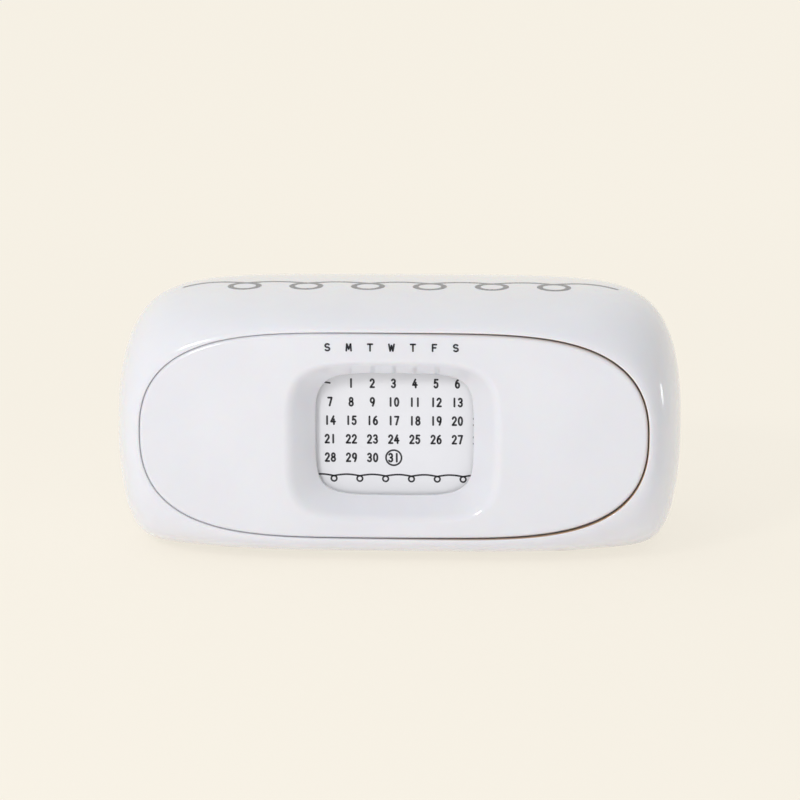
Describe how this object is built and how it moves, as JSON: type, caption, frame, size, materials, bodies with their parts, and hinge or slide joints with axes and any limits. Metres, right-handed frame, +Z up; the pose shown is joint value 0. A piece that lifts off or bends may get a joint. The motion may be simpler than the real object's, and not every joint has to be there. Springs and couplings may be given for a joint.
{
  "type": "desk calendar with drawer",
  "caption": "Pebble-shaped white plastic desk calendar with a pull-out drawer and a sliding date plate behind a window in its front.",
  "frame": {"origin": "on the desk surface, under the middle of the case", "axes": "+Z up, -Y out of the front in the direction in which the drawer opens, +X to the right of someone facing the front"},
  "size_m": [0.1994, 0.104, 0.0901],
  "materials": {
    "gloss_white": "high gloss moulded white",
    "satin_white": "satin moulded white",
    "plate_white": "smooth printed white sheet",
    "foot_rubber": "matte black",
    "screw_steel": "zinc plated"
  },
  "bodies": {
    "case": {"case_shell": "gloss_white", "base_plate": "satin_white", "base_screws": "screw_steel", "foot_front_left": "foot_rubber", "foot_front_right": "foot_rubber", "foot_rear_left": "foot_rubber", "foot_rear_right": "foot_rubber"},
    "drawer": {"drawer_front": "gloss_white", "drawer_tray": "satin_white", "front_screws": "screw_steel"},
    "date_plate": {"date_plate": "plate_white"}
  },
  "joints": [
    {"name": "drawer_slide", "type": "slide", "parent": "case", "child": "drawer", "axis": [0, -1, 0], "range_m": [0, 0.0516]},
    {"name": "date_slide", "type": "slide", "parent": "drawer", "child": "date_plate", "axis": [1, 0, 0], "range_m": [-0.00726, 0.0363]}
  ]
}
